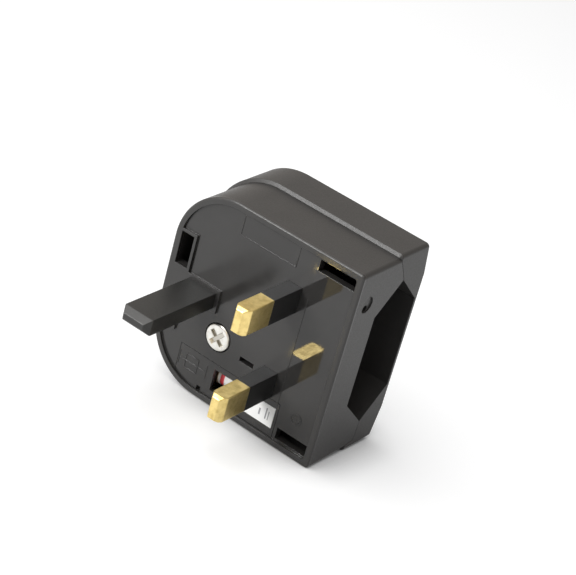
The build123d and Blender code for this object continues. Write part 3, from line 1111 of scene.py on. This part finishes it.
@dataclass
class Studio:
    """Floor, light and camera around the adapter.

    Attributes:
        azimuth: Direction of the camera around Z, in degrees.
        elevation: Height angle of the camera, in degrees.
        roll: Turn of the picture, in degrees.
        eye: Place of the camera.
        lens: Focal length of the camera, in millimetres.
        sensor: Width of the camera's sensor, in millimetres.
        floor_half: Half the floor's side.
        floor_colour: Grey of the floor as the light meets it.
        floor_shown: Grey of the floor as the camera sees it lit.
        mirror_glow: Light that the floor adds in glossy surfaces.
        painted_shadow: Share of that light left in the painted shadow beside the end with the plug bay.
        painted_shadow_x: Place of that end along X, and reach of the painted shadow.
        shown_glow: Light that the floor adds in the camera's view.
        contact: Distance within which the adapter shades that light.
        contact_dark: Share of open air at which none of that light is left.
        contact_x: Places along X between which that shade sets in.
        ambient: Strength of the surrounding light.
        backdrop: Strength of the surroundings in glossy surfaces.
        warmth: Colour of the surroundings in glossy surfaces.
        front: Softbox in front of the pins, kept off the floor.
        overhead: Softbox above the adapter.
    """

    azimuth: float = 29.659
    elevation: float = 28.602
    roll: float = -15.861
    eye: Vector = field(default_factory=lambda: Vector((185.675, -328.051, 218.871)) * MM)
    lens: float = 125.0
    sensor: float = 36.0
    floor_half: float = 3.0
    floor_colour: float = 0.9
    floor_shown: float = 0.7
    mirror_glow: float = 0.41
    painted_shadow: float = 0.1
    painted_shadow_x: Limits = (19.0 * MM, 34.0 * MM)
    shown_glow: float = 0.48
    contact: float = 10.0 * MM
    contact_dark: float = 0.25
    contact_x: Limits = (-26.0 * MM, -14.0 * MM)
    ambient: float = 0.3
    backdrop: float = 0.73
    warmth: Colour = (1.0, 0.93, 0.86)
    front: Softbox = Softbox("front_softbox", (-0.43, -0.77, 0.47), 0.62, 0.22, 3.3)
    overhead: Softbox = Softbox("overhead_softbox", (-0.3, -0.28, 0.91), 0.7, 0.75, 5.0)

    def build(self) -> None:
        """Set up the whole studio."""
        bpy.context.scene.view_settings.view_transform = "Standard"
        floor = self.build_floor()
        self.build_world()
        self.build_lights(floor)
        self.build_camera()

    def floor_tilt(self) -> tuple[Vector, float]:
        """Find the floor that the adapter rests on, under the cover's lip and the base's front edge.

        Returns:
            A point of the floor and its slope about X, in radians.
        """
        cover_low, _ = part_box("rear_cover")
        base_low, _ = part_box("base_housing")
        corners = bpy.data.objects["rear_cover"].data.vertices
        lip_y = min(corner.co.y for corner in corners if corner.co.z < cover_low.z + MERGE)
        rise = base_low.z - cover_low.z
        return Vector((0, lip_y, cover_low.z)), -math.atan2(rise, lip_y - base_low.y)

    def build_floor(self) -> bpy.types.Object:
        """Lay a wide pale floor that keeps the adapter's shadow.

        Returns:
            The floor.
        """
        point, slope = self.floor_tilt()
        shape = bmesh.new()
        bmesh.ops.create_grid(shape, x_segments=1, y_segments=1, size=self.floor_half)
        place = Matrix.Translation(point) @ Matrix.Rotation(slope, 4, "X")
        bmesh.ops.transform(shape, matrix=place, verts=shape.verts)
        mesh = bpy.data.meshes.new("floor")
        shape.to_mesh(mesh)
        shape.free()
        mesh.materials.append(self.floor_material())
        floor = bpy.data.objects.new("floor", mesh)
        bpy.context.scene.collection.objects.link(floor)
        return floor

    def floor_material(self) -> bpy.types.Material:
        """Build the floor's material.

        Returns:
            The material, brighter to the camera and in glossy surfaces than as it lights the adapter, with
            a painted shadow in glossy surfaces beside the end with the plug bay.
        """
        graph = Graph(bpy.data.materials.new("floor_white"))
        camera, mirrored = self.watchers(graph)
        grey = graph.between(camera, (0, 1), (self.floor_colour, self.floor_shown))
        matt = graph.add("ShaderNodeBsdfDiffuse", {"Color": grey})
        # painted shadow: the light that glossy surfaces see in the floor fades beside the end with the plug
        # bay
        beside, reach = self.painted_shadow_x
        painted_shadow_share = graph.between(graph.off(Axis.X, beside), (0, reach), (self.painted_shadow, 1))
        reflected = graph.math("MULTIPLY", graph.math("MULTIPLY", mirrored, self.mirror_glow), painted_shadow_share)
        open_air = graph.add("ShaderNodeAmbientOcclusion", {"Distance": self.contact}).outputs["AO"]
        closed = graph.between(open_air, (self.contact_dark, 1), (1, 0))
        side = graph.between(graph.along(Axis.X), self.contact_x, (0, 1))
        lit = graph.between(graph.math("MULTIPLY", closed, side), (0, 1), (self.shown_glow, 0))
        shown = graph.math("MULTIPLY", camera, lit)
        glow = graph.add("ShaderNodeEmission", {"Strength": graph.math("MAXIMUM", reflected, shown)})
        both = graph.add("ShaderNodeAddShader")
        graph.feed(both.inputs[0], matt.outputs[0])
        graph.feed(both.inputs[1], glow.outputs[0])
        return graph.surface(both)

    def watchers(self, graph: Graph) -> tuple[Socket, Socket]:
        """Tell who looks.

        Args:
            graph: Nodes of the floor or of the surroundings.

        Returns:
            Values of 1 for the camera, and for a glossy or clear surface.
        """
        path = graph.add("ShaderNodeLightPath").outputs
        mirrored = graph.math("MAXIMUM", path["Is Glossy Ray"], path["Is Transmission Ray"])
        return path["Is Camera Ray"], mirrored

    def build_world(self) -> None:
        """Surround the adapter with even light that is plain white in the background."""
        graph = Graph(bpy.data.worlds.new("studio"))
        camera, mirrored = self.watchers(graph)
        even = (self.ambient,) * 3
        warm = tuple(self.backdrop * part for part in self.warmth)
        colour = graph.blend(camera, graph.blend(mirrored, even, warm), WHITE)
        sky = graph.add("ShaderNodeBackground", {"Color": colour})
        graph.add("ShaderNodeOutputWorld", {"Surface": sky.outputs[0]})
        bpy.context.scene.world = graph.owner

    def build_lights(self, floor: bpy.types.Object) -> None:
        """Hang both softboxes, and keep the front one off the floor.

        Args:
            floor: The floor.
        """
        self.overhead.hang()
        apart = bpy.data.collections.new("not_lit_from_the_front")
        apart.objects.link(floor)
        apart.collection_objects[0].light_linking.link_state = "EXCLUDE"
        self.front.hang().light_linking.receiver_collection = apart

    def build_camera(self) -> None:
        """Set the camera at the picture's viewing angle."""
        turn, rise, lean = (math.radians(angle) for angle in (self.azimuth, self.elevation, self.roll))
        aim = Matrix.Rotation(turn, 4, "Z") @ Matrix.Rotation(math.pi / 2 - rise, 4, "X")
        rolled = aim @ Matrix.Rotation(-lean, 4, "Z")
        camera = bpy.data.cameras.new("camera")
        camera.lens = self.lens
        camera.sensor_width = self.sensor
        holder = bpy.data.objects.new("camera", camera)
        holder.matrix_world = Matrix.Translation(self.eye) @ rolled
        bpy.context.scene.collection.objects.link(holder)
        bpy.context.scene.camera = holder


def main() -> None:
    """Build the looks of the adapter, one sub-assembly at a time."""
    logging.basicConfig(level=logging.INFO, format="%(message)s")
    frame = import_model()
    shop = Workshop(frame["nodes"])
    for assembly in (Housing(), PlugPins(), FuseBay(), CoverScrew(), Contacts()):
        assembly.build(shop)
    Studio().build()


if __name__ == "__main__":
    main()
